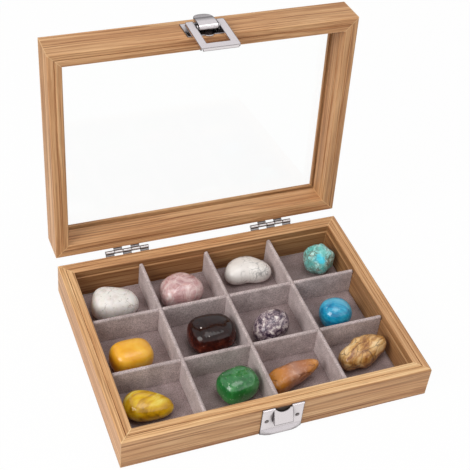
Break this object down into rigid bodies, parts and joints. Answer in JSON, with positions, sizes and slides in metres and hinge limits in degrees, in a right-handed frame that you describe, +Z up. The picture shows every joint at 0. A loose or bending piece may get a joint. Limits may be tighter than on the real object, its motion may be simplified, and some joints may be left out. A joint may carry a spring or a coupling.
{
  "type": "mineral specimen box",
  "caption": "Wooden display case with a hinged glass lid, a draw latch and velvet-lined compartments that each hold a polished stone.",
  "frame": {"origin": "centre of the underside of the base, on the surface the case stands on", "axes": "+X to the right along the front, +Y from the front towards the hinges, +Z up"},
  "size_m": [0.2, 0.1931, 0.1818],
  "materials": {
    "oak_foil_wood": "warm oak foil with a fine straight grain, satin",
    "grey_velvet": "flocked velvet, warm grey",
    "chrome_plate": "bright plated sheet",
    "zinc_steel": "plain plated steel",
    "clear_glass": "clear, polished",
    "magnesite": "white with faint green-grey specks, tumbled",
    "rose_quartz": "pale pink, cloudy, polished",
    "howlite": "white with grey veins, polished",
    "turquoise": "blue-green with brown matrix, tumbled",
    "yellow_jade": "golden yellow, polished",
    "garnet": "very dark red, polished",
    "amethyst": "violet and white bands, tumbled",
    "blue_agate": "bright blue, polished",
    "lemon_jasper": "lemon and olive swirls, polished",
    "green_quartz": "green, cloudy, polished",
    "jasper_shard": "orange-brown with a pink middle, tumbled",
    "brown_jasper": "ochre with dark fissures, tumbled"
  },
  "bodies": {
    "base": {"base_rail_front": "oak_foil_wood", "base_rail_back": "oak_foil_wood", "base_rail_left": "oak_foil_wood", "base_rail_right": "oak_foil_wood", "bottom_board": "oak_foil_wood", "floor_pad": "grey_velvet", "cross_divider_left": "grey_velvet", "cross_divider_middle": "grey_velvet", "cross_divider_right": "grey_velvet", "long_divider_front": "grey_velvet", "long_divider_rear": "grey_velvet", "keeper_plate": "chrome_plate", "keeper_nails": "chrome_plate", "hinge_base_leaf_left": "zinc_steel", "hinge_base_leaf_right": "zinc_steel", "hinge_pin_left": "zinc_steel", "hinge_pin_right": "zinc_steel", "hinge_base_nails": "zinc_steel", "specimen_magnesite": "magnesite", "specimen_rose_quartz": "rose_quartz", "specimen_howlite": "howlite", "specimen_turquoise": "turquoise", "specimen_yellow_jade": "yellow_jade", "specimen_garnet": "garnet", "specimen_amethyst": "amethyst", "specimen_blue_agate": "blue_agate", "specimen_lemon_jasper": "lemon_jasper", "specimen_green_quartz": "green_quartz", "specimen_jasper_shard": "jasper_shard", "specimen_brown_jasper": "brown_jasper"},
    "lid": {"lid_rail_front": "oak_foil_wood", "lid_rail_back": "oak_foil_wood", "lid_rail_left": "oak_foil_wood", "lid_rail_right": "oak_foil_wood", "glass_pane": "clear_glass", "hinge_lid_leaf_left": "zinc_steel", "hinge_lid_leaf_right": "zinc_steel", "hinge_lid_nails": "zinc_steel", "latch_plate": "chrome_plate", "latch_plate_nails": "chrome_plate", "lever_pin": "zinc_steel"},
    "draw_lever": {"draw_lever": "chrome_plate"},
    "draw_frame": {"draw_frame": "chrome_plate", "frame_pin": "zinc_steel"}
  },
  "joints": [
    {"name": "lid_hinge", "type": "hinge", "parent": "base", "child": "lid", "pos_m": [0, 0.0779, 0.0239], "axis": [1, 0, 0], "range_deg": [0, 94.5]},
    {"name": "lever_swing", "type": "hinge", "parent": "lid", "child": "draw_lever", "pos_m": [0, 0.09529, 0.17982], "axis": [1, 0, 0], "range_deg": [0, 110]},
    {"name": "frame_swing", "type": "hinge", "parent": "draw_lever", "child": "draw_frame", "pos_m": [0, 0.10025, 0.17913], "axis": [1, 0, 0], "range_deg": [-143, 0]}
  ],
  "couplings": [
    {"joint": "frame_swing", "follows": "lever_swing", "ratio": -1.3}
  ]
}
